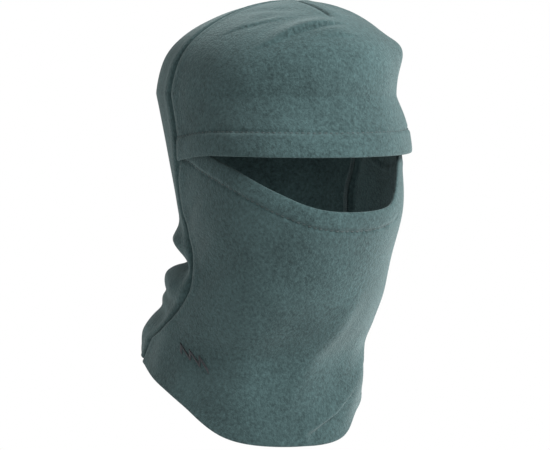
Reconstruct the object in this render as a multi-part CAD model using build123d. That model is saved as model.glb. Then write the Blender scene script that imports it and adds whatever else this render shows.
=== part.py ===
from build123d import *
from math import atan2, cos, degrees, radians, sin, sqrt
import os

# Fleece balaclava in the shape it takes on an adult head. Millimetres. +Z is up, the face looks
# towards -Y and the wearer's right is -X. The origin is the centre of the head cavity.
# A place on the hood is an angle round it, from the front or the back, and a level. Levels up to
# zero are millimetres below the base of the crown's dome, levels above zero are degrees up it.

# ---- driving dimensions ----
CLOTH = 2.6  # thickness of the brushed fleece
JOIN_GAP = 0.6  # between two panels that a seam joins
TURN_PER_MM = 0.65  # degrees round the hood that one millimetre takes up near the side seams

DOME_BASE = 5.0  # height where the head is widest
DOME_HEIGHT = 70.0
DOME_BULGE = 0.055  # how much squarer the dome is than an ellipsoid
DOME_LEAN = 14.0  # how far forward the top of the dome sits
TOP_LEVEL = 89.0  # the panels stop here, where they all meet

BROW_HEM = 17.0  # depth of the turned hem along the brow edge
MASK_HEM = 16.0  # depth of the turned hem along the top of the mask
FAR_RISE = 24.0  # the opening ends sooner on the wearer's left, where the mask's edge rises this much
FAR_START, FAR_END = 22.0, 38.0  # degrees round from the front over which it rises
CHEEK_START, CHEEK_END = 44.0, 84.0  # and over which it settles back
HEM_TURN = 9.0  # degrees that the hem's depth takes up where its edge is steep
HEM_GAP = 3.0  # the stiff hem stops this short of the side seams, so that it can swing

THREAD_WIDTH = 0.9  # a row of topstitching
THREAD_RISE = 0.6  # how far a stitch stands off the cloth
THREAD_LIFT = 0.05  # clearance between a topstitch and the cloth under it
INSIDE_LIFT = 0.4  # clearance between an overlock thread and the cloth it is next to
OVERLOCK_WIDTH = 5.0  # the looped threads over the raw edges inside the seams
OVERLOCK_TOP = 24.0  # the side seam threads start this far below the mask's edge
OVERLOCK_END = 1.0  # and stop this far above the bottom edge
CROWN_SEAM_REACH = 84.0  # degrees from the top of the head, down to each ear
FRONT_DART = (-58.0, -17.0)  # where the crown darts run along the centre line
BACK_DART = (-3.0, 34.0)

MOTIF_PEAK = 9.0  # width of one embroidered peak
MOTIF_HEIGHT = 8.0
MOTIF_STROKE = 3.0
MOTIF_SLOPE = 26.0  # degrees, falling towards the front
MOTIF_ANGLE, MOTIF_LEVEL = -70.0, -188.0  # where its middle is

# Ellipses round the hood: height, half width, front and back.
NECK = [
    (-262, 84, -64, 132),
    (-215, 82, -58, 130),
    (-184, 78, -59, 126),
    (-160, 77, -75, 112),
    (-140, 76, -87, 98),
    (-112, 72, -99, 74),
    (-75, 78, -110, 77),
]
HOOD = NECK + [(-33, 84, -113, 87), (DOME_BASE, 85, -104, 103)]
MASK = NECK + [(-33, 78, -106, 81), (DOME_BASE, 77, -97, 96)]  # narrower, as it runs up inside the crown

# Lines on the hood seen from the side, as (y, height).
BROW_EDGE = [(-130, -37), (-40, -37), (12, -43), (130, -43)]
MASK_EDGE = [(-130, -76), (-108, -74), (-86, -61), (-58, -46), (-25, -34), (12, -22), (60, -10)]
NECK_EDGE = [(-130, -152), (-70, -146), (-45, -130), (-25, -106), (-8, -82), (12, -56), (60, -20)]
BOTTOM_EDGE = [(-130, -247), (-56, -246), (-28, -240), (4, -221)]
BOTTOM_EDGE += [(27, -211), (71, -197), (100, -187), (150, -174)]
# The side seam seen from the side, as (height, y).
SIDE_SEAM = [(-262, 110), (-180, 62), (-169, 40), (-151, 14), (-132, 0), (-110, 2)]
SIDE_SEAM += [(-92, 9), (-70, 13), (-45, 8), (-25, 4), (5, 12)]


# ---- geometry of the hood ----
def smooth(knots, at):
    """A smooth curve through knots, read at one place. Straight beyond the first and last knot."""
    number = 1
    while number < len(knots) - 1 and knots[number][0] < at:
        number += 1
    (x0, y0), (x1, y1) = knots[number - 1], knots[number]
    before = knots[max(number - 2, 0)]
    after = knots[min(number + 1, len(knots) - 1)]
    span = x1 - x0
    slope0 = (y1 - before[1]) / (x1 - before[0]) * span
    slope1 = (after[1] - y0) / (after[0] - x0) * span
    t = (at - x0) / span
    if t < 0 or t > 1:
        return y0 + (y1 - y0) * t
    rise = (3 * t**2 - 2 * t**3) * (y1 - y0)
    return y0 + rise + (t**3 - 2 * t**2 + t) * slope0 + (t**3 - t**2) * slope1


def height_of(level):
    """The height of a level."""
    if level <= 0:
        return DOME_BASE + level
    return DOME_BASE + DOME_HEIGHT * sin(radians(level))


def ellipse_at(form, level):
    """Half width, centre and half depth of the hood at a level."""
    height = min(height_of(level), DOME_BASE)
    half_width, front, back = (smooth([(row[0], row[k]) for row in form], height) for k in (1, 2, 3))
    centre = (front + back) / 2
    half_depth = (back - front) / 2
    if level <= 0:
        return half_width, centre, half_depth
    up = radians(level)
    scale = cos(up) * (1 + DOME_BULGE * sin(2 * up) ** 2)
    return half_width * scale, centre - DOME_LEAN * sin(up), half_depth * scale


def surface(form, angle, level):
    """The point of the form at an angle from the front and a level."""
    half_width, centre, half_depth = ellipse_at(form, level)
    turn = radians(angle)
    return Vector(half_width * sin(turn), centre - half_depth * cos(turn), height_of(level))


def lifted(form, angle, level, lift):
    """The same point, moved out of the hood by lift."""
    across = surface(form, angle + 0.2, level) - surface(form, angle - 0.2, level)
    up = surface(form, angle, level + 0.2) - surface(form, angle, level - 0.2)
    return surface(form, angle, level) + across.cross(up).normalized() * lift


def seam_angle(form, level):
    """How far round from the front the side seam lies at a level."""
    _, centre, half_depth = ellipse_at(form, min(level, 0))
    share = (smooth(SIDE_SEAM, min(height_of(level), DOME_BASE)) - centre) / half_depth
    behind = degrees(atan2(share, sqrt(1 - share**2)))
    return 90 + behind * cos(radians(max(level, 0)))


def line(knots, shift=0.0):
    """A line seen from the side, as a function of y and the angle that gives a level."""
    return lambda y, _: smooth(knots, y) + shift - DOME_BASE


def top(_, __):
    """The line where the panels meet on top of the head."""
    return TOP_LEVEL


def ease(share):
    """A smooth step from 0 to 1."""
    share = min(max(share, 0.0), 1.0)
    return share * share * (3 - 2 * share)


def mask_line(depth=0.0):
    """The mask's edge, or a line a depth below it inside its hem."""

    def level(y, angle):
        start = angle - FAR_START - HEM_TURN * depth / MASK_HEM
        settled = ease((angle - CHEEK_START) / (CHEEK_END - CHEEK_START))
        rise = ease(start / (FAR_END - FAR_START)) * (1 - settled)
        return smooth(MASK_EDGE, y) - DOME_BASE - depth + FAR_RISE * rise

    return level


def slab(place, columns, rows, outer, inner):
    """A solid between two skins. place(u, v, lift) gives a point, with u and v from 0 to 1."""
    skins = []
    for lift in (outer, inner):
        curves = []
        for j in range(rows + 1):
            points = [place(i / columns, j / rows, lift) for i in range(columns + 1)]
            spacing = [i / columns for i in range(columns + 1)]
            curves.append(Wire([Edge.make_spline(points, parameters=spacing)]))
        skins.append(Shell.make_loft(curves).faces()[0])
    rims = [Face.make_surface_from_curves(a, b) for a, b in zip(skins[0].edges(), skins[1].edges())]
    solid = Solid(Shell(skins + rims))
    return solid if solid.volume > 0 else Solid(Shell([-face for face in skins + rims]))


def patch(form, low, high, turns, outer, inner, columns=20, rows=16):
    """Cloth between two side view lines. turns(level) gives the angles where it starts and ends."""

    def place(u, v, lift):
        level = -60.0
        for _ in range(60):
            start, end = turns(level)
            angle = start + (end - start) * u
            y = surface(form, angle, level).Y
            level = (level + low(y, angle) * (1 - v) + high(y, angle) * v) / 2
        return lifted(form, angle, level, lift)

    return slab(place, columns, rows, outer, inner)


def front_turns(form, gap=JOIN_GAP / 2):
    """Angles of the front panels, which end short of the side seams by a gap."""

    def turns(level):
        end = seam_angle(form, level) - gap * TURN_PER_MM
        return -end, end

    return turns


def back_turns(form):
    """Angles of the back panel, from the left seam round to the right one."""

    def turns(level):
        start = seam_angle(form, level) + JOIN_GAP / 2 * TURN_PER_MM
        return start, 360 - start

    return turns


OUT = THREAD_LIFT + THREAD_RISE
UNDER = -CLOTH - INSIDE_LIFT


# ---- cloth panels ----
def crown_panel():
    """Forehead, temples and the front of the crown in one piece, down to the brow edge."""
    return patch(HOOD, line(BROW_EDGE), top, front_turns(HOOD), 0, -CLOTH)


def back_panel():
    """Back of the crown, nape and the back of the neck in one piece."""
    return patch(HOOD, line(BOTTOM_EDGE), top, back_turns(HOOD), 0, -CLOTH, rows=36)


def mask_hem():
    """The turned hem along the top of the mask, from cheek to cheek over the nose."""
    return patch(MASK, mask_line(MASK_HEM), mask_line(), front_turns(MASK, HEM_GAP), 0, -CLOTH, 32, 4)


def mask_panel():
    """The mask's cloth between its hem and the throat, which gathers when the mask comes down."""
    high = mask_line(MASK_HEM + JOIN_GAP)
    return patch(MASK, line(NECK_EDGE), high, front_turns(MASK), 0, -CLOTH, 32, 20)


def neck_panel():
    """The lower part of the front cloth, from the throat to the bottom edge."""
    high = line(NECK_EDGE, -JOIN_GAP)
    return patch(MASK, line(BOTTOM_EDGE), high, front_turns(MASK), 0, -CLOTH, rows=34)


# ---- threads ----
def brow_topstitch():
    """The row of stitches that holds the brow hem."""
    low = line(BROW_EDGE, BROW_HEM)
    high = line(BROW_EDGE, BROW_HEM + THREAD_WIDTH)
    return patch(HOOD, low, high, front_turns(HOOD), OUT, THREAD_LIFT, rows=4)


def mask_topstitch():
    """The row of stitches that holds the mask's hem."""
    low = mask_line(MASK_HEM - THREAD_WIDTH)
    high = mask_line(MASK_HEM - 2 * THREAD_WIDTH)
    return patch(MASK, low, high, front_turns(MASK, HEM_GAP), OUT, THREAD_LIFT, 32, 4)


def neck_seam_thread(side):
    """Looped threads along one side seam inside the hood, from the ear to the bottom edge."""

    def turns(level):
        middle = seam_angle(MASK, level)
        half = OVERLOCK_WIDTH / 2 * TURN_PER_MM
        return (middle - half, middle + half) if side > 0 else (-middle - half, half - middle)

    low = line(BOTTOM_EDGE, OVERLOCK_END)
    high = line(MASK_EDGE, -OVERLOCK_TOP)
    return patch(MASK, low, high, turns, UNDER, UNDER - THREAD_RISE, columns=3, rows=34)


def dome_level(fits):
    """The level on the dome where fits changes sign."""
    low, high = 0.0, 90.0
    for _ in range(40):
        middle = (low + high) / 2
        low, high = (middle, high) if fits(middle) else (low, middle)
    return low


def dome_place(x, y, lift):
    """The point of the dome above x and y, moved out by lift."""

    def inside(level):
        half_width, centre, half_depth = ellipse_at(HOOD, level)
        return (x / half_width) ** 2 + ((y - centre) / half_depth) ** 2 < 1

    level = dome_level(inside)
    half_width, centre, half_depth = ellipse_at(HOOD, level)
    return lifted(HOOD, degrees(atan2(x / half_width, (centre - y) / half_depth)), level, lift)


def crown_seam_thread():
    """Looped threads along the seam inside the crown, from one ear over the top to the other."""

    def place(u, v, lift):
        lean = radians(CROWN_SEAM_REACH * (2 * u - 1))

        def below(level):
            half_width, centre, half_depth = ellipse_at(HOOD, level)
            reach = half_width * abs(cos(radians(seam_angle(HOOD, level) - 90)))
            return reach * cos(lean) > (height_of(level) - DOME_BASE) * abs(sin(lean))

        level = dome_level(below)
        middle = surface(HOOD, seam_angle(HOOD, level), level)
        x = middle.X if lean > 0 else -middle.X
        return dome_place(x, middle.Y + (v - 0.5) * OVERLOCK_WIDTH, lift)

    return slab(place, 24, 3, UNDER, UNDER - THREAD_RISE)


def dart_thread(start, end):
    """The thread that closes a crown dart, on the inside along the centre line."""

    def place(u, v, lift):
        return dome_place((0.5 - v) * 2 * THREAD_WIDTH, start + (end - start) * u, lift)

    return slab(place, 6, 3, UNDER, UNDER - THREAD_RISE)


# ---- trim ----
def embroidered_motif():
    """Three plain embroidered peaks on the wearer's right, low on the neck."""
    strokes = [(0, 0)]
    for number in range(3):
        strokes.append((MOTIF_PEAK * (number + 0.5), MOTIF_HEIGHT))
        strokes.append((MOTIF_PEAK * (number + 1), 0))
    middle = surface(MASK, MOTIF_ANGLE, MOTIF_LEVEL)

    def place(u, v, lift):
        step = min(int(u * 6), 5)
        (x0, y0), (x1, y1) = strokes[step], strokes[step + 1]
        t = u * 6 - step
        along = x0 + (x1 - x0) * t - 1.5 * MOTIF_PEAK
        rise = y0 + (y1 - y0) * t - MOTIF_HEIGHT / 2 + (v - 0.5) * MOTIF_STROKE
        slope = radians(MOTIF_SLOPE)
        y = middle.Y - along * cos(slope) + rise * sin(slope)
        z = middle.Z - along * sin(slope) + rise * cos(slope)
        _, centre, half_depth = ellipse_at(MASK, z - DOME_BASE)
        share = (y - centre) / half_depth
        return lifted(MASK, -90 - degrees(atan2(share, sqrt(1 - share**2))), z - DOME_BASE, lift)

    return slab(place, 96, 4, OUT, THREAD_LIFT)


PARTS = {
    "crown_panel": crown_panel,
    "back_panel": back_panel,
    "mask_hem": mask_hem,
    "mask_panel": mask_panel,
    "neck_panel": neck_panel,
    "brow_topstitch": brow_topstitch,
    "mask_topstitch": mask_topstitch,
    "crown_seam_thread": crown_seam_thread,
    "right_neck_seam_thread": lambda: neck_seam_thread(-1),
    "left_neck_seam_thread": lambda: neck_seam_thread(1),
    "front_dart_thread": lambda: dart_thread(*FRONT_DART),
    "back_dart_thread": lambda: dart_thread(*BACK_DART),
    "embroidered_motif": embroidered_motif,
}

os.makedirs("parts", exist_ok=True)
for name, make in PARTS.items():
    export_step(make(), f"parts/{name}.step")
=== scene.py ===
import math

import bpy
import numpy as np
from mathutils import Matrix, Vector


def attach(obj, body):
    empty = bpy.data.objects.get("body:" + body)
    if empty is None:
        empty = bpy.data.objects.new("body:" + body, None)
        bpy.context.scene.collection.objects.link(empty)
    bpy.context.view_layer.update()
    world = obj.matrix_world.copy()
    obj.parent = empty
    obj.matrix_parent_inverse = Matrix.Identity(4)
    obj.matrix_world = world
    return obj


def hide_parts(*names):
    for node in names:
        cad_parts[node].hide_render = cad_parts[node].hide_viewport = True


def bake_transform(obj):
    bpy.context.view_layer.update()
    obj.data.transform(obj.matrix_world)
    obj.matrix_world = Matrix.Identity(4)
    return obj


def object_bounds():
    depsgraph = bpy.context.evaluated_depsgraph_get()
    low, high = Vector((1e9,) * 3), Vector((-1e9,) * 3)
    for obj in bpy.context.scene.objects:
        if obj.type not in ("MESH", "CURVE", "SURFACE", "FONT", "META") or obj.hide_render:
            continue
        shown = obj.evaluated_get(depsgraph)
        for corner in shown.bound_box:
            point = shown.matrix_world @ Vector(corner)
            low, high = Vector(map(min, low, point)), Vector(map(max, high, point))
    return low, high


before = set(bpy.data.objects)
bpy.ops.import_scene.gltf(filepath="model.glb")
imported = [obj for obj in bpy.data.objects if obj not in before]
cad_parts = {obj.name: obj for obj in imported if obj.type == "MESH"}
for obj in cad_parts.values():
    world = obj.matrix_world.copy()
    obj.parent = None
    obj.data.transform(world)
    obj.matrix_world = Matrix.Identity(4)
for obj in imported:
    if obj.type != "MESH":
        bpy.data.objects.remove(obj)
cad_low, cad_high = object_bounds()

# Fleece balaclava. Measures are in millimetres up to the section "floor, light and camera", as in the
# CAD source, and become metres when a mesh is made. +Z is up, the face looks towards -Y and the wearer's
# right is -X. A place on the hood is an angle round it, from the front or the back, and a level. Levels
# up to zero are millimetres below the base of the crown's dome, levels above zero are degrees up it.

MM = 0.001
rng = np.random.default_rng(7)

# ---- driving dimensions, as in the CAD source ----
CLOTH = 2.6  # thickness of the brushed fleece
DOME_BASE = 5.0  # height where the head is widest
DOME_HEIGHT = 70.0
DOME_BULGE = 0.055  # how much squarer the dome is than an ellipsoid
DOME_LEAN = 14.0  # how far forward the top of the dome sits
TOP_LEVEL = 89.97  # the panels stop here, where they all meet

BROW_HEM = 17.0  # depth of the turned hem along the brow edge
MASK_HEM = 15.0  # depth of the turned hem along the top of the mask
FAR_RISE = 24.0  # the opening ends sooner on the wearer's left, where the mask's edge rises this much
FAR_START, FAR_END = 22.0, 38.0  # degrees round from the front over which it rises
CHEEK_START, CHEEK_END = 44.0, 84.0  # and over which it settles back
HEM_TURN = 9.0  # degrees that the hem's depth takes up where its edge is steep
FRONT_DART = (-58, -17)  # where the crown darts run along the centre line
BACK_DART = (-3, 34)

# Ellipses round the hood: height, half width, front and back.
NECK = [
    (-262, 84, -64, 132),
    (-215, 82, -58, 130),
    (-184, 78, -59, 126),
    (-160, 77, -75, 112),
    (-140, 76, -87, 98),
    (-112, 72, -99, 74),
    (-75, 78, -110, 77),
]
HOOD = NECK + [(-33, 84, -113, 87), (DOME_BASE, 85, -104, 103)]
MASK = NECK + [(-33, 78, -106, 81), (DOME_BASE, 77, -97, 96)]  # narrower, as it runs up inside the crown

# Lines on the hood seen from the side, as (y, height).
BROW_EDGE = [(-130, -37), (-40, -37), (12, -43), (130, -43)]
MASK_EDGE = [(-130, -76), (-108, -74), (-86, -61), (-58, -46), (-25, -34), (12, -22), (60, -10)]
BOTTOM_EDGE = [(-130, -247), (-56, -246), (-28, -240), (4, -221)]
BOTTOM_EDGE += [(27, -211), (71, -197), (100, -187), (150, -174)]
# The side seam seen from the side, as (height, y).
SIDE_SEAM = [(-262, 110), (-180, 62), (-169, 40), (-151, 14), (-132, 0), (-110, 2)]
SIDE_SEAM += [(-92, 9), (-70, 13), (-45, 8), (-25, 4), (5, 12)]

# ---- how far the worn cloth departs from the form ----
CROWN_EASE = 2.6  # over the crown the cloth lies this much closer
CROWN_EASE_FROM, CROWN_EASE_OVER = 28.0, 36.0  # and the heights over which it comes to do so
SEAM_GROOVE, SEAM_GROOVE_WIDTH = 2.4, 1.7
SEAM_RIDGE, SEAM_RIDGE_OFF, SEAM_RIDGE_WIDTH = 0.8, 6.0, 4.0
DART_GROOVE, DART_GROOVE_WIDTH = 3.2, 1.5
DART_RIDGE, DART_RIDGE_OFF, DART_RIDGE_WIDTH = 0.9, 7.0, 4.0
WAVE_HEIGHT, RIPPLE_HEIGHT = 0.16, 0.035
MM_PER_TURN = math.radians(90)  # millimetres that a degree takes up near the side seams
SEAM_PRESS = 0.45  # degrees by which the panels run past a side seam, where they are pressed together
CORNER_RISE, CORNER_ANGLE, CORNER_SPREAD = 12.0, 40.0, 20.0  # the bottom edge's far front corner
HEAD_TOP = 60.0  # above this height is the top of the head
POLE = (HOOD[-1][2] + HOOD[-1][3]) / 2 - DOME_LEAN  # where the panels meet, along the centre line

# Folds in the worn cloth: path, how wide, how high. A crease is negative.
FOLDS = [
    # creases that gather the front of the crown by its dart
    ([(-20, -88, 50), (-4, -88, 51), (8, -84, 53)], 4.0, 1.6),
    ([(-46, -22, 70), (-32, -40, 72), (-20, -54, 69)], 6.0, -1.5),
    ([(8, -26, 82), (34, -42, 70), (54, -54, 52)], 9.0, 2.2),
    ([(-54, -46, 56), (-34, -54, 64)], 7.0, -1.4),
    # over the temples, where the far side is pulled in above the brow
    ([(80, -26, 10), (68, -58, 10), (44, -84, 12)], 17.0, -6.0),
    ([(66, -50, 36), (58, -66, 36), (48, -78, 34)], 10.0, 4.5),
    ([(-80, -20, 8), (-66, -58, 16), (-40, -86, 26)], 16.0, 1.2),
    ([(40, -92, -6), (0, -104, -8), (-40, -92, -8)], 12.0, -1.4),
    # drags from the cheek down to the side seam
    ([(-78, -24, -64), (-76, 0, -84), (-72, 14, -98)], 7.0, -1.4),
    ([(-74, -52, -84), (-72, -24, -106), (-72, -4, -122)], 9.0, 1.3),
    ([(-70, -40, -112), (-72, -10, -132), (-74, 6, -144)], 7.0, -1.2),
    ([(78, -24, -64), (76, 0, -84), (72, 14, -98)], 7.0, -1.2),
    # the long soft ridge that falls from the chin, and the hollow behind it
    ([(12, -88, -138), (2, -70, -164), (-12, -57, -190), (-26, -53, -216)], 9.0, 3.0),
    ([(-20, -76, -140), (-30, -60, -170), (-40, -50, -200)], 13.0, -2.4),
    ([(34, -62, -160), (18, -58, -190), (2, -58, -216)], 11.0, -1.4),
    # broad waves in the skirt on the near side
    ([(-74, -30, -160), (-76, -10, -190), (-74, -2, -216)], 14.0, -1.6),
    ([(-72, 20, -158), (-78, 36, -184), (-78, 40, -204)], 12.0, 1.6),
    ([(-60, -46, -160), (-58, -44, -200), (-54, -40, -240)], 14.0, 1.8),
]

# Where the crown's cloth laps over itself above a crease: path, how far up it reaches, how high.
LAPS = [
    ([(-50, -73, 41), (-32, -80, 50), (-20, -82, 53), (-2, -82, 56)], 9.0, 5.0),
    ([(-16, -90, 45), (6, -91, 45)], 7.0, 2.6),
    ([(-60, -40, 52), (-44, -56, 58), (-34, -62, 60)], 10.0, 1.8),
]
LAP_LIP = 0.45  # how soft the lip of a lap is

# Rolls round the nape, where the back panel bunches: height at the back, how wide, how high.
ROLLS = [
    (-107, 9.0, 7.0),
    (-122, 4.5, -5.5),
    (-136, 7.0, 4.2),
    (-147, 4.0, -1.6),
    (-160, 6.0, -3.0),
    (-181, 13.0, 4.5),
]

# The cloth in front of this line folds over the far corner of the skirt and shades it.
FAR_FOLD = [(54, -28, -182), (52, -35, -192), (38, -47, -209)]
FAR_FOLD += [(14, -58, -226), (-4, -60, -234), (-12, -59, -238)]

# Low uneven swells and ripples all over the cloth: direction with its rate, and phase.
WAVES = [(rng.normal(size=3) / rng.uniform(22, 60), rng.uniform(0, 6.28)) for _ in range(14)]
RIPPLES = [(rng.normal(size=3) / rng.uniform(7, 14), rng.uniform(0, 6.28)) for _ in range(16)]


# ---- geometry of the hood ----
def smooth(knots, at):
    """A smooth curve through knots, read at an array of places. Straight beyond the ends."""
    xs = np.array([k[0] for k in knots], float)
    ys = np.array([k[1] for k in knots], float)
    slopes = np.empty(len(xs))
    slopes[1:-1] = (ys[2:] - ys[:-2]) / (xs[2:] - xs[:-2])
    slopes[0] = (ys[1] - ys[0]) / (xs[1] - xs[0])
    slopes[-1] = (ys[-1] - ys[-2]) / (xs[-1] - xs[-2])
    at = np.asarray(at, float)
    i = np.clip(np.searchsorted(xs, at, side="left"), 1, len(xs) - 1)
    x0, x1, y0, y1 = xs[i - 1], xs[i], ys[i - 1], ys[i]
    span = x1 - x0
    t = (at - x0) / span
    inside = np.clip(t, 0, 1)
    value = (
        y0
        + (3 * inside**2 - 2 * inside**3) * (y1 - y0)
        + (inside**3 - 2 * inside**2 + inside) * slopes[i - 1] * span
        + (inside**3 - inside**2) * slopes[i] * span
    )
    return value + (t - inside) * (y1 - y0)


def height_of(level):
    """Heights of an array of levels."""
    up = np.radians(np.maximum(level, 0))
    return DOME_BASE + np.where(level <= 0, level, DOME_HEIGHT * np.sin(up))


def ellipse_at(form, level):
    """Half width, centre and half depth of the hood at an array of levels."""
    height = np.minimum(height_of(level), DOME_BASE)
    half_width, front, back = (smooth([(row[0], row[k]) for row in form], height) for k in (1, 2, 3))
    centre = (front + back) / 2
    half_depth = (back - front) / 2
    up = np.radians(np.maximum(level, 0))
    scale = np.cos(up) * (1 + DOME_BULGE * np.sin(2 * up) ** 2)
    return half_width * scale, centre - DOME_LEAN * np.sin(up), half_depth * scale


def surface(form, angle, level):
    """Points of the form at angles from the front and levels."""
    half_width, centre, half_depth = ellipse_at(form, level)
    turn = np.radians(angle)
    x = half_width * np.sin(turn)
    y = centre - half_depth * np.cos(turn)
    return np.stack([x, y, height_of(level)], -1)


def seam_angle(form, level):
    """How far round from the front the side seam lies."""
    below = np.minimum(level, 0)
    _, centre, half_depth = ellipse_at(form, below)
    share = np.clip((smooth(SIDE_SEAM, height_of(below)) - centre) / half_depth, -0.99, 0.99)
    behind = np.degrees(np.arcsin(share))
    return 90 + behind * np.cos(np.radians(np.maximum(level, 0)))


def settle(form, low, high, turns, u, v):
    """Angle and level for the place (u, v) of a panel between two side view lines."""
    level = np.full(np.broadcast(u, v).shape, -60.0)  # a start inside the hood, which then settles
    for _ in range(60):
        start, end = turns(level)
        angle = start + (end - start) * u
        y = surface(form, angle, level)[..., 1]
        level = (level + low(y, angle) * (1 - v) + high(y, angle) * v) / 2
    return angle, level


def ease(share):
    """A smooth step from 0 to 1."""
    share = np.clip(share, 0, 1)
    return share * share * (3 - 2 * share)


def bump(distance, width):
    """A soft bump, 1 at its middle."""
    return np.exp(-((distance / width) ** 2))


def line(knots, shift=None):
    """A line seen from the side. shift(angle) moves it up or down round the hood."""
    return lambda y, angle: smooth(knots, y) - DOME_BASE + (shift(angle) if shift else 0.0)


def top(y, angle):
    """The line where the panels meet on top of the head."""
    return np.full(np.shape(y), TOP_LEVEL)


def mask_line(depth=0.0):
    """The mask's edge, or a line a depth below it inside its hem."""

    def level(y, angle):
        start = angle - FAR_START - HEM_TURN * depth / MASK_HEM
        settled = ease((angle - CHEEK_START) / (CHEEK_END - CHEEK_START))
        rise = ease(start / (FAR_END - FAR_START)) * (1 - settled)
        return smooth(MASK_EDGE, y) - DOME_BASE - depth + FAR_RISE * rise

    return level


def far_corner(angle):
    """How far the bottom edge rises at the far front corner."""
    return CORNER_RISE * bump(angle - CORNER_ANGLE, CORNER_SPREAD)


# ---- relief of the worn cloth ----
def faded(along, reach, start, power):
    """Strength along a fold, which dies away at both ends."""
    return np.sin(np.pi * np.clip(along * reach + start, 0, 1)) ** power


BEHIND_IS_ABOVE = 0.6  # the crown slopes, so a place further back also counts as above a crease


def distance_to_path(points, path):
    """Distances to a polyline, how far along it they are, from 0 to 1, and how far above it."""
    path = np.array(path, float)
    best = np.full(points.shape[:-1], 1e9)
    along = np.zeros(points.shape[:-1])
    above = np.zeros(points.shape[:-1])
    lengths = np.linalg.norm(np.diff(path, axis=0), axis=1)
    passed = 0.0
    for a, b, length in zip(path[:-1], path[1:], lengths):
        t = np.clip(((points - a) @ (b - a)) / length**2, 0, 1)
        offset = points - (a + t[..., None] * (b - a))
        distance = np.linalg.norm(offset, axis=-1)
        nearer = distance < best
        above = np.where(nearer, offset[..., 2] + BEHIND_IS_ABOVE * offset[..., 1], above)
        best = np.where(nearer, distance, best)
        along = np.where(nearer, (passed + t * length) / lengths.sum(), along)
        passed += length
    return best, along, above


def folds(points):
    """Folds, creases and laps."""
    out = np.zeros(points.shape[:-1])
    for path, width, height in FOLDS:
        distance, along, _ = distance_to_path(points, path)
        out += height * bump(distance, width) * faded(along, 0.86, 0.07, 0.7)
    for path, reach, height in LAPS:
        distance, along, above = distance_to_path(points, path)
        lip = 1 / (1 + np.exp(-(np.sign(above) * distance - 0.8) / LAP_LIP))
        out += height * lip * bump(distance, reach) * faded(along, 0.9, 0.08, 0.6)
    return out


def unevenness(points):
    """Low swells and ripples that no stretched cloth is without."""
    out = np.zeros(points.shape[:-1])
    for direction, phase in WAVES:
        out += WAVE_HEIGHT * np.sin(points @ direction + phase)
    for direction, phase in RIPPLES:
        out += RIPPLE_HEIGHT * np.sin(points @ direction + phase)
    return out


ROLL_GROWTH = 14.0  # degrees behind a side seam over which the rolls grow


def nape_rolls(points, side, past_seam):
    """Rolls behind the side seams, which sway up and down and differ in strength round the nape."""
    out = np.zeros(points.shape[:-1])
    sway = 3.5 * np.sin(np.radians(side * 2.3 + 40)) + 2.0 * np.sin(np.radians(side * 5.1))
    for number, (height, width, amount) in enumerate(ROLLS):
        strength = 0.8 + 0.35 * np.sin(np.radians(side * (2 + number * 0.7) + 70 * number))
        out += amount * strength * bump(points[..., 2] - height - sway, width)
    return out * np.clip(past_seam / ROLL_GROWTH, 0, 1)


DARTS_FROM, DARTS_TO, DARTS_CUT = -76.0, 44.0, 40.0  # along the centre line
DARTS_FADE_FRONT, DARTS_FADE_BACK, DARTS_GAP = 10.0, 14.0, 7.0


def crown_darts(points):
    """The two darts along the centre line of the crown, with a gap between them at the pole."""
    x, y, z = points[..., 0], points[..., 1], points[..., 2]
    on_dart = (z > HEAD_TOP) & (y < DARTS_CUT)
    fade = np.clip((y - DARTS_FROM) / DARTS_FADE_FRONT, 0, 1)
    fade = fade * np.clip((DARTS_TO - y) / DARTS_FADE_BACK, 0, 1) * (1 - bump(y - POLE, DARTS_GAP))
    groove = DART_GROOVE * bump(x, DART_GROOVE_WIDTH)
    ridges = DART_RIDGE * bump(np.abs(x) - DART_RIDGE_OFF, DART_RIDGE_WIDTH)
    return on_dart * fade * (ridges - groove)


def relief(points, side, level, form):
    """How far the worn cloth stands off the form, in millimetres."""
    past_seam = np.abs(side) - seam_angle(form, level)
    off_seam = past_seam * MM_PER_TURN
    out = folds(points) + unevenness(points) + nape_rolls(points, side, past_seam)
    out -= SEAM_GROOVE * bump(off_seam, SEAM_GROOVE_WIDTH)
    out += SEAM_RIDGE * bump(np.abs(off_seam) - SEAM_RIDGE_OFF, SEAM_RIDGE_WIDTH)
    out -= CROWN_EASE * ease((points[..., 2] - CROWN_EASE_FROM) / CROWN_EASE_OVER)
    return out + crown_darts(points)


HEM_RAISE, HEM_ROUNDING, HEM_STEP = 0.8, 2.0, 0.7
STITCH_PULL, STITCH_PULL_WIDTH = 1.1, 1.4
PUCKER, PUCKER_WIDTH = 0.28, 3.5


def hem_relief(drop, depth, along):
    """A turned hem: a second layer down to the stitching, which pulls in and puckers."""
    inside = 1 / (1 + np.exp((drop - depth) / HEM_STEP))
    edge = 1 - np.exp(-np.maximum(drop, 0) / HEM_ROUNDING)
    uneven = np.sin(along / 2.1 + 1.7 * np.sin(along / 9.0))
    pucker = PUCKER * uneven * bump(drop - depth, PUCKER_WIDTH)
    pull = STITCH_PULL * bump(drop - depth, STITCH_PULL_WIDTH)
    return HEM_RAISE * inside * edge - pull + pucker


VISOR_OUT, VISOR_HEIGHT, VISOR_REACH = 2.6, 14.0, 100.0
SKIRT_OUT, SKIRT_HEIGHT = 1.6, 9.0
CURL_IN, CURL_TOP, CURL_HEIGHT, CURL_ANGLE, CURL_SPREAD = 9.0, -196.0, 50.0, 44.0, 24.0
RIM_OUT, RIM_DROP, RIM_WIDTH, RIM_EDGE = 3.4, 7.5, 9.0, 1.6
RIM_FROM = -12.0  # degrees round from the front where the fold's rim starts
TUCK, TUCK_WIDTH, TUCK_FROM, TUCK_OVER = 0.6, 12.0, -56.0, 14.0


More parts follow.
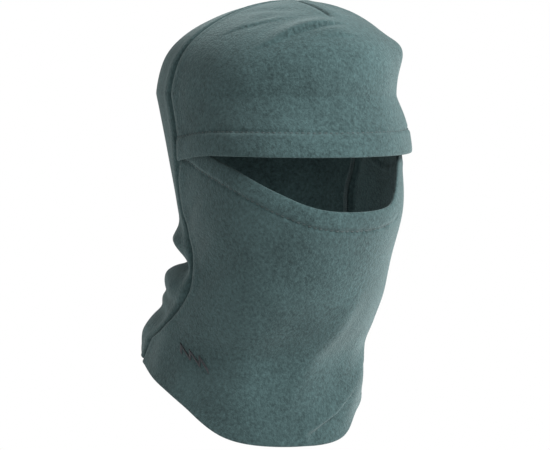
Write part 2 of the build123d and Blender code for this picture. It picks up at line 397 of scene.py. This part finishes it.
def visor(base, level, side):
    """The brow hem stands out over the eyes."""
    rise = level - (smooth(BROW_EDGE, base[..., 1]) - DOME_BASE)
    front = np.clip(-base[..., 1] / VISOR_REACH, 0, 1)
    return VISOR_OUT * front * np.exp(-np.maximum(rise, 0) / VISOR_HEIGHT)


def skirt(base, level, side):
    """The bottom edge turns out a little where it lies on the shoulders and chest."""
    drop = level - (smooth(BOTTOM_EDGE, base[..., 1]) - DOME_BASE)
    return SKIRT_OUT * np.exp(-np.maximum(drop, 0) / SKIRT_HEIGHT)


def far_curl(base, side):
    """At the far front corner the bottom edge curls in."""
    low = ease((CURL_TOP - base[..., 2]) / CURL_HEIGHT)
    return -CURL_IN * bump(side - CURL_ANGLE, CURL_SPREAD) * low


def far_fold(base, side):
    """A rim that stands proud along the fold and drops sharply on its outer side."""
    distance, along, _ = distance_to_path(base, FAR_FOLD)
    rim = np.array(FAR_FOLD, float)
    rim_side = np.interp(-base[..., 2], -rim[:, 2], rim[:, 0])
    past_rim = np.clip((base[..., 0] - rim_side) / RIM_EDGE, 0, 1)
    near = bump(distance, RIM_WIDTH) * (side > RIM_FROM)
    return near * faded(along, 0.9, 0.05, 0.6) * (RIM_OUT - RIM_DROP * past_rim)


def close_seam(base, level, side):
    """The mask meets the back panel at the side seams, and lies under the crown panel above them."""
    wider = ellipse_at(HOOD, level)[0] - ellipse_at(MASK, level)[0]
    off_seam = (np.abs(side) - seam_angle(MASK, level)) * MM_PER_TURN
    under = np.clip((base[..., 2] - TUCK_FROM) / TUCK_OVER, 0, 1)
    return np.maximum(wider, 0) * bump(off_seam, TUCK_WIDTH) * (1 - TUCK * under)


def front_skirt(base, level, side):
    """The front panel's bottom edge and side seams."""
    edge = skirt(base, level, side) + far_curl(base, side) + far_fold(base, side)
    return edge + close_seam(base, level, side)


def normals_of(grid):
    """Outward unit normals of a grid of points."""
    across = np.gradient(grid, axis=0)
    up = np.gradient(grid, axis=1)
    n = np.cross(across, up)
    return n / np.maximum(np.linalg.norm(n, axis=-1, keepdims=True), 1e-9)


# ---- meshes ----
def smooth_shaded(mesh):
    """Smooth shading on all of a mesh's faces."""
    for polygon in mesh.polygons:
        polygon.use_smooth = True


def make_object(name, vertices, faces, material):
    """An object from vertices in metres."""
    mesh = bpy.data.meshes.new(name)
    mesh.from_pydata([tuple(v) for v in vertices], [], faces)
    mesh.materials.append(material)
    mesh.update()
    obj = bpy.data.objects.new(name, mesh)
    bpy.context.scene.collection.objects.link(obj)
    smooth_shaded(mesh)
    return obj


def freeze(obj):
    """Applies the modifiers."""
    graph = bpy.context.evaluated_depsgraph_get()
    mesh = bpy.data.meshes.new_from_object(obj.evaluated_get(graph))
    obj.modifiers.clear()
    obj.data = mesh
    smooth_shaded(mesh)


class Panel:
    """A cloth panel: a grid of places on the form, pushed out by the relief."""

    def __init__(self, form, low, high, turns, columns, rows, hems, flare):
        even = np.linspace(0, 1, columns + 1)
        crowded = 0.5 - 0.5 * np.cos(np.pi * even)  # narrower cells beside the seams
        u, v = np.meshgrid(0.5 * (even + crowded), np.linspace(0, 1, rows + 1), indexing="ij")
        self.angle, self.level = settle(form, low, high, turns, u, v)
        self.base = surface(form, self.angle, self.level)
        side = np.where(self.angle > 180, self.angle - 360, self.angle)
        steps = np.linalg.norm(np.diff(self.base, axis=0, prepend=self.base[:1]), axis=-1)
        along = np.cumsum(steps, axis=0)
        out = relief(self.base, side, self.level, form)
        for edge, stitching in hems:
            edge_level = edge(self.base[..., 1], self.angle)
            drop = np.abs(self.level - edge_level)
            depth = np.abs(stitching(self.base[..., 1], self.angle) - edge_level)
            out = out + hem_relief(drop, depth, along)
        out = out + flare(self.base, self.level, side)
        self.normal = normals_of(self.base)
        self.points = self.base + self.normal * out[..., None]

    def build(self, name, material):
        """The panel's object, with its cloth's thickness inwards."""
        across, along = self.points.shape[:2]
        index = np.arange(across * along).reshape(across, along)
        corners = index[:-1, :-1], index[1:, :-1], index[1:, 1:], index[:-1, 1:]
        faces = np.stack(corners, -1).reshape(-1, 4).tolist()
        obj = make_object(name, self.points.reshape(-1, 3) * MM, faces, material)
        solid = obj.modifiers.new("thickness", "SOLIDIFY")
        solid.thickness = CLOTH * MM
        solid.offset = -1
        solid.use_even_offset = False
        sub = obj.modifiers.new("soft edges", "SUBSURF")
        sub.levels = sub.render_levels = 1
        freeze(obj)
        return obj

    def row_at(self, edge):
        """A line across the panel, with its normals."""
        gap = self.level - edge(self.base[..., 1], self.angle)
        points, normals = [], []
        for i in range(gap.shape[0]):
            j = int(np.clip(np.searchsorted(gap[i], 0), 1, gap.shape[1] - 1))
            t = np.clip(-gap[i, j - 1] / (gap[i, j] - gap[i, j - 1]), 0, 1)
            points.append(self.points[i, j - 1] * (1 - t) + self.points[i, j] * t)
            normals.append(self.normal[i, j])
        return np.array(points), np.array(normals)

    def side_line(self, column, start, end):
        """One of the panel's lines from bottom to top, between two rows, with its normals."""
        return self.points[column][start:end], self.normal[column][start:end]

    def centre_line(self, low, high):
        """The panel's centre line on top of the head, between two places from front to back."""
        middle = self.points.shape[0] // 2
        points, normals = self.points[middle], self.normal[middle]
        keep = (points[:, 1] > low) & (points[:, 1] < high) & (points[:, 2] > HEAD_TOP)
        return points[keep], normals[keep]


def resample(points, normals, step):
    """Even steps along a line."""
    length = np.concatenate([[0], np.cumsum(np.linalg.norm(np.diff(points, axis=0), axis=1))])
    at = np.arange(0, length[-1], step)
    pick = lambda values: np.stack([np.interp(at, length, values[:, k]) for k in range(3)], -1)
    n = pick(normals)
    return pick(points), n / np.linalg.norm(n, axis=1, keepdims=True)


def tube(vertices, faces, path, radius, sides):
    """Adds a round thread along a path to lists of vertices and faces."""
    path = np.array(path)
    tangent = np.gradient(path, axis=0)
    tangent /= np.maximum(np.linalg.norm(tangent, axis=1, keepdims=True), 1e-9)
    helper = np.where(np.abs(tangent[:, 2:3]) < 0.9, [[0.0, 0.0, 1.0]], [[1.0, 0.0, 0.0]])
    one = np.cross(tangent, helper)
    one /= np.linalg.norm(one, axis=1, keepdims=True)
    two = np.cross(tangent, one)
    radius = np.broadcast_to(radius, len(path))
    first = len(vertices)
    last = first + (len(path) - 1) * sides
    for k in range(len(path)):
        for s in range(sides):
            turn = 2 * math.pi * s / sides
            way = one[k] * math.cos(turn) + two[k] * math.sin(turn)
            vertices.append(path[k] + way * radius[k])
    for ring in range(first, last, sides):
        for s in range(sides):
            n = (s + 1) % sides
            faces.append([ring + s, ring + n, ring + sides + n, ring + sides + s])
    faces.append([first + s for s in range(sides)][::-1])
    faces.append([last + s for s in range(sides)])


STITCH_LENGTH, STITCH_GAP, STITCH_RADIUS = 3.3, 0.7, 0.34
STITCH_STEP = 0.25
STITCH_LIFT = np.array([-0.9, -0.1, 0.22, 0.3, 0.22, -0.1, -0.9])  # dips into the cloth at both ends
STITCH_SWELL = np.array([0.7, 1, 1.05, 1.05, 1.05, 1, 0.7])


def stitches(name, points, normals, material):
    """A row of separate stitches."""
    line_points, line_normals = resample(points, normals, STITCH_STEP)
    pitch = int((STITCH_LENGTH + STITCH_GAP) / STITCH_STEP)
    keep = int(STITCH_LENGTH / STITCH_STEP)
    vertices, faces = [], []
    for start in range(0, len(line_points) - keep, pitch):
        index = np.linspace(start, start + keep, len(STITCH_LIFT)).astype(int)
        path = line_points[index] + line_normals[index] * STITCH_LIFT[:, None]
        tube(vertices, faces, path, STITCH_RADIUS * STITCH_SWELL, 6)
    return make_object(name, np.array(vertices) * MM, faces, material)


LOOP_PITCH, LOOP_RADIUS = 1.7, 0.26
LOOP_SINK, LOOP_SAG = 0.5, 0.25  # below the cloth's inner face, and more midway between two loops
NEEDLE_OFF, NEEDLE_SINK = 0.32, 0.85  # share of the width, and depth below the inner face


def overlock(name, points, normals, material, width=4.6):
    """Looped threads over a seam allowance inside the hood, with two needle lines beside them."""
    line_points, line_normals = resample(points, normals, LOOP_PITCH / 2)
    across = np.cross(np.gradient(line_points, axis=0), line_normals)
    across /= np.linalg.norm(across, axis=1, keepdims=True)
    sign = np.where(np.arange(len(line_points)) % 2 == 0, 1.0, -1.0)[:, None]
    zigzag = line_points + across * sign * width / 2 - line_normals * (CLOTH + LOOP_SINK)
    loops = np.repeat(zigzag, 2, axis=0)[:-1]
    loops[1::2] = (zigzag[:-1] + zigzag[1:]) / 2 - line_normals[:-1] * LOOP_SAG
    vertices, faces = [], []
    tube(vertices, faces, loops, LOOP_RADIUS, 5)
    for offset in (-NEEDLE_OFF, NEEDLE_OFF):
        path = line_points + across * width * offset - line_normals * (CLOTH + NEEDLE_SINK)
        tube(vertices, faces, path, LOOP_RADIUS, 5)
    return make_object(name, np.array(vertices) * MM, faces, material)


# ---- materials ----
def node_material(name, roughness):
    """A material with its nodes, links and shader."""
    material = bpy.data.materials.new(name)
    material.use_nodes = True
    nodes, links = material.node_tree.nodes, material.node_tree.links
    shader = nodes["Principled BSDF"]
    shader.inputs["Roughness"].default_value = roughness
    return material, nodes, links, shader


def add(nodes, kind, **values):
    """A new node with values for its inputs or its own settings."""
    node = nodes.new(kind)
    for key, value in values.items():
        if key in node.inputs:
            node.inputs[key].default_value = value
        else:
            setattr(node, key, value)
    return node


def times(nodes, links, value, factor, plus=None):
    """The output value * factor + plus."""
    node = add(nodes, "ShaderNodeMath", operation="MULTIPLY" if plus is None else "MULTIPLY_ADD")
    node.inputs[1].default_value = factor
    links.new(value, node.inputs[0])
    if plus is not None:
        links.new(plus, node.inputs[2])
    return node.outputs[0]


def two_tone(nodes, links, shader, tone, dark, light, start=0.0, end=1.0):
    """Colours a shader from dark to light as tone goes from start to end."""
    ramp = add(nodes, "ShaderNodeValToRGB")
    for element, position, color in zip(ramp.color_ramp.elements, (start, end), (dark, light)):
        element.position = position
        element.color = color
    links.new(tone, ramp.inputs["Fac"])
    links.new(ramp.outputs["Color"], shader.inputs["Base Color"])


def bumped(nodes, links, shader, height, strength, distance):
    """Gives a shader a bump of a distance in metres."""
    node = add(nodes, "ShaderNodeBump", Strength=strength, Distance=distance)
    links.new(height, node.inputs["Height"])
    links.new(node.outputs["Normal"], shader.inputs["Normal"])


def linear(r, g, b):
    """Linear colour of an 8-bit display colour."""
    one = lambda c: c / 12.92 if c <= 0.04045 else ((c + 0.055) / 1.055) ** 2.4
    return (one(r / 255), one(g / 255), one(b / 255), 1.0)


def fleece_material(name, dark, light):
    """Brushed anti-pill fleece: soft clumped pile with fine fuzz over it."""
    material, nodes, links, shader = node_material(name, 0.95)
    shader.inputs["Specular IOR Level"].default_value = 0.18
    shader.inputs["Sheen Weight"].default_value = 0.18
    shader.inputs["Sheen Roughness"].default_value = 0.55
    shader.inputs["Sheen Tint"].default_value = (0.62, 0.78, 0.78, 1)
    place = add(nodes, "ShaderNodeTexCoord").outputs["Object"]
    clumps = add(nodes, "ShaderNodeTexNoise", Scale=420.0, Detail=5.0, Roughness=0.62, Distortion=0.4)
    pile = add(nodes, "ShaderNodeTexVoronoi", Scale=640.0, Randomness=1.0)
    fuzz = add(nodes, "ShaderNodeTexNoise", Scale=1700.0, Detail=3.0, Roughness=0.7)
    drift = add(nodes, "ShaderNodeTexNoise", Scale=26.0, Detail=3.0, Roughness=0.5)
    for texture in (clumps, pile, fuzz, drift):
        links.new(place, texture.inputs["Vector"])
    fine = times(nodes, links, fuzz.outputs["Fac"], 0.3)
    pelt = times(nodes, links, clumps.outputs["Fac"], 0.55, fine)
    tone = times(nodes, links, drift.outputs["Fac"], 0.22, pelt)
    two_tone(nodes, links, shader, tone, dark, light, 0.38, 0.68)
    tufts = times(nodes, links, pile.outputs["Distance"], -0.35, pelt)
    bumped(nodes, links, shader, tufts, 0.75, 0.0011)
    return material


def thread_material(name, dark, light, sheen):
    """Twisted thread: fine slanted plies."""
    material, nodes, links, shader = node_material(name, 0.62)
    shader.inputs["Sheen Weight"].default_value = sheen
    place = add(nodes, "ShaderNodeTexCoord").outputs["Object"]
    plies = add(nodes, "ShaderNodeTexWave", Scale=900.0, Distortion=3.0, Detail=2.0)
    plies.bands_direction = "DIAGONAL"
    tone = add(nodes, "ShaderNodeTexNoise", Scale=300.0, Detail=2.0)
    for texture in (plies, tone):
        links.new(place, texture.inputs["Vector"])
    two_tone(nodes, links, shader, tone.outputs["Fac"], dark, light)
    bumped(nodes, links, shader, plies.outputs["Fac"], 0.5, 0.0002)
    return material


FLEECE = fleece_material("fleece", linear(16, 31, 32), linear(50, 69, 70))
TOPSTITCH = thread_material("topstitch", linear(24, 36, 37), linear(44, 58, 59), 0.03)
SEAM_THREAD = thread_material("seam_thread", linear(40, 56, 58), linear(64, 82, 84), 0.1)
EMBROIDERY = thread_material("embroidery", linear(13, 16, 20), linear(28, 33, 39), 0.05)


# ---- cloth ----
def front_turns(form):
    """Angles of the front panels, from one side seam to the other."""

    def turns(level):
        end = seam_angle(form, level) + SEAM_PRESS
        return -end, end

    return turns


def back_turns(level):
    """Angles of the back panel, from the left seam round to the right one."""
    start = seam_angle(HOOD, level) - SEAM_PRESS
    return start, 360 - start


brow_edge, brow_stitching = line(BROW_EDGE), line(BROW_EDGE, lambda angle: BROW_HEM)
mask_edge, mask_stitching = mask_line(), mask_line(MASK_HEM)
bottom_edge, front_bottom_edge = line(BOTTOM_EDGE), line(BOTTOM_EDGE, far_corner)
brow_hem, mask_hem = (brow_edge, brow_stitching), (mask_edge, mask_stitching)

crown = Panel(HOOD, brow_edge, top, front_turns(HOOD), 210, 140, [brow_hem], visor)
back = Panel(HOOD, bottom_edge, top, back_turns, 150, 200, [], skirt)
front = Panel(MASK, front_bottom_edge, mask_edge, front_turns(MASK), 210, 170, [mask_hem], front_skirt)

crown_cloth = crown.build("crown_panel_cloth", FLEECE)
back_cloth = back.build("back_panel_cloth", FLEECE)
front_cloth = front.build("front_panel_cloth", FLEECE)


# ---- threads ----
SEAM_INSET = 2  # grid lines between a thread's end and the edge of its panel
HEM_INSET = 14  # grid lines between a seam's thread and a hem


def stitching_line(panel, edge):
    """A hem's stitching line, which stops short of the side seams."""
    points, normals = panel.row_at(edge)
    return points[SEAM_INSET:-SEAM_INSET], normals[SEAM_INSET:-SEAM_INSET]


brow_stitches = stitches("brow_stitches", *stitching_line(crown, brow_stitching), TOPSTITCH)
mask_stitches = stitches("mask_stitches", *stitching_line(front, mask_stitching), TOPSTITCH)

# The crown seam runs up the right side and down the left one, and starts above the brow hem.
right_side = crown.side_line(0, HEM_INSET, None)
left_side = crown.side_line(-1, HEM_INSET, None)
crown_seam = [np.concatenate([up, down[::-1]]) for up, down in zip(right_side, left_side)]
crown_overlock = overlock("crown_seam_overlock", *crown_seam, SEAM_THREAD)
right_seam = front.side_line(0, SEAM_INSET, -HEM_INSET)
left_seam = front.side_line(-1, SEAM_INSET, -HEM_INSET)
right_overlock = overlock("right_seam_overlock", *right_seam, SEAM_THREAD)
left_overlock = overlock("left_seam_overlock", *left_seam, SEAM_THREAD)
front_dart = overlock("front_dart_overlock", *crown.centre_line(*FRONT_DART), SEAM_THREAD, width=2.4)
back_dart = overlock("back_dart_overlock", *back.centre_line(*BACK_DART), SEAM_THREAD, width=2.4)

# ---- embroidery ----
MOTIF_MIDDLE = (0.8, -184.5)  # seen from the side, as (y, height)
MOTIF_SLOPE = math.radians(26)  # falling towards the front
MOTIF_PEAK = 9.0  # width of one peak
MOTIF_HEIGHT = 8.0
MOTIF_STROKE = 3.8  # length of a satin stitch
SATIN_STEP = 0.055  # spacing of the satin stitches, as a share of a stroke
SATIN_RADIUS, SATIN_LIFT, SATIN_CROWN, SATIN_LEAN = 0.34, 0.12, 0.5, 0.25


def on_front(y, z):
    """Point and normal of the front cloth on the wearer's right, from its side view place."""
    half = front.points.shape[0] // 2
    points, normals = front.points[:half].reshape(-1, 3), front.normal[:half].reshape(-1, 3)
    off = (points[:, 1] - y) ** 2 + (points[:, 2] - z) ** 2
    nearest = np.argsort(off)[:6]
    weight = 1 / (off[nearest] + 0.05)
    weight = weight[:, None] / weight.sum()
    normal = (normals[nearest] * weight).sum(0)
    x = (points[nearest] * weight).sum(0)[0]
    return np.array([x, y, z]), normal / np.linalg.norm(normal)


def peaks(name, material):
    """Three plain peaks in satin stitch."""
    corners = [(0.0, 0.0)]
    for number in range(3):
        corners.append((MOTIF_PEAK * (number + 0.5), MOTIF_HEIGHT))
        corners.append((MOTIF_PEAK * (number + 1), 0.0))
    c, s = math.cos(MOTIF_SLOPE), math.sin(MOTIF_SLOPE)
    vertices, faces = [], []
    for (x0, y0), (x1, y1) in zip(corners[:-1], corners[1:]):
        for t in np.arange(0, 1.001, SATIN_STEP):
            path = []
            for k in np.linspace(-1, 1, 5):
                along = x0 + (x1 - x0) * t - 1.5 * MOTIF_PEAK + k * SATIN_LEAN
                rise = y0 + (y1 - y0) * t - MOTIF_HEIGHT / 2 + k * MOTIF_STROKE / 2
                y = MOTIF_MIDDLE[0] - along * c + rise * s
                z = MOTIF_MIDDLE[1] - along * s + rise * c
                point, normal = on_front(y, z)
                path.append(point + normal * (SATIN_CROWN * (1 - k * k) + SATIN_LIFT))
            tube(vertices, faces, path, SATIN_RADIUS, 5)
    return make_object(name, np.array(vertices) * MM, faces, material)


motif = peaks("embroidered_peaks", EMBROIDERY)

side_overlocks = [right_overlock, left_overlock]
darts = [front_dart, back_dart]

for piece in (crown_cloth, back_cloth, brow_stitches, crown_overlock, *side_overlocks, *darts, motif):
    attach(piece, "hood")
for piece in (front_cloth, mask_stitches):
    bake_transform(piece)

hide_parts("crown_panel")
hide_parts("back_panel")
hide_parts("mask_hem", "mask_panel", "neck_panel")
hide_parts("brow_topstitch")
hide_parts("mask_topstitch")
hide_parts("crown_seam_thread")
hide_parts("right_neck_seam_thread")
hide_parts("left_neck_seam_thread")
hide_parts("front_dart_thread")
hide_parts("back_dart_thread")
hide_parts("embroidered_motif")

# ---- floor, light and camera ----
TARGET = Vector((0, 0, -0.092))
FLOOR_DROP = 0.30  # the floor lies well below the hood, so the hood's shadow is out of the picture
FLOOR_NEAR, FLOOR_FAR, FLOOR_HALF_WIDTH = -4.0, 1.2, 4.0
CAMERA_AZIMUTH, CAMERA_ELEVATION, CAMERA_DISTANCE = -32.0, 5.0, 1.5
CAMERA_ASIDE = -0.0015  # sideways, to centre the hood as the photo does
VIEW_WIDTH = 0.407  # what the camera takes in at the hood
SENSOR_WIDTH = 36


def direction(azimuth, elevation):
    """The way from the hood to a place at an azimuth from the front and an elevation."""
    a, e = math.radians(azimuth), math.radians(elevation)
    return Vector((math.sin(a) * math.cos(e), -math.cos(a) * math.cos(e), math.sin(e)))


def link(name, data, way, distance, aside=Vector()):
    """A light or camera at a distance from the hood, which looks back at it."""
    obj = bpy.data.objects.new(name, data)
    obj.location = TARGET + aside + way * distance
    obj.rotation_euler = (-way).to_track_quat("-Z", "Y").to_euler()
    bpy.context.scene.collection.objects.link(obj)
    return obj


# The floor's edges run along and across the camera's view.
view_turn = math.radians(CAMERA_AZIMUTH)
across_view = Vector((math.cos(view_turn), math.sin(view_turn), 0))
along_view = Vector((-math.sin(view_turn), math.cos(view_turn), 0))
floor_material, _, _, floor_shader = node_material("floor", 0.9)
floor_shader.inputs["Base Color"].default_value = (0.9, 0.9, 0.9, 1)
floor_corners = []
for side, away in ((-1, FLOOR_NEAR), (1, FLOOR_NEAR), (1, FLOOR_FAR), (-1, FLOOR_FAR)):
    corner = across_view * side * FLOOR_HALF_WIDTH + along_view * away
    floor_corners.append((corner.x, corner.y, cad_low[2] - FLOOR_DROP))
make_object("floor", floor_corners, [[0, 1, 2, 3]], floor_material)

# An even white surround, dimmer towards the wearer's right and back, which the photo shows in shade.
world = bpy.data.worlds.new("studio")
world.use_nodes = True
sky_nodes, sky_links = world.node_tree.nodes, world.node_tree.links
sky_nodes["Background"].inputs["Color"].default_value = (1, 1, 1, 1)
sky_way = add(sky_nodes, "ShaderNodeTexCoord").outputs["Generated"]
toward_shade = add(sky_nodes, "ShaderNodeVectorMath", operation="DOT_PRODUCT")
toward_shade.inputs[1].default_value = (-0.95, 0.30, 0.0)
shade = add(sky_nodes, "ShaderNodeMapRange")
for place, value in (("From Min", -0.05), ("From Max", 0.85), ("To Min", 1.0), ("To Max", 0.6)):
    shade.inputs[place].default_value = value
sky_links.new(sky_way, toward_shade.inputs[0])
sky_links.new(toward_shade.outputs["Value"], shade.inputs["Value"])
sky_links.new(shade.outputs["Result"], sky_nodes["Background"].inputs["Strength"])
bpy.context.scene.world = world

key = bpy.data.lights.new("key", "AREA")
key.size = 0.6
key.energy = 66
link("key", key, direction(18, 35), 1.6)

# A faint light inside the head cavity, so that the far side shows through the eye opening.
glow = bpy.data.lights.new("inside_fill", "POINT")
glow.energy = 0.10
glow.shadow_soft_size = 0.03
glow_object = bpy.data.objects.new("inside_fill", glow)
glow_object.location = (0, 0, -0.07)
bpy.context.scene.collection.objects.link(glow_object)

lens = bpy.data.cameras.new("camera")
lens.sensor_width = SENSOR_WIDTH
lens.lens = SENSOR_WIDTH * CAMERA_DISTANCE / VIEW_WIDTH
camera_way = direction(CAMERA_AZIMUTH, CAMERA_ELEVATION)
camera = link("camera", lens, camera_way, CAMERA_DISTANCE, across_view * CAMERA_ASIDE)
bpy.context.scene.camera = camera
bpy.context.scene.view_settings.view_transform = "Standard"
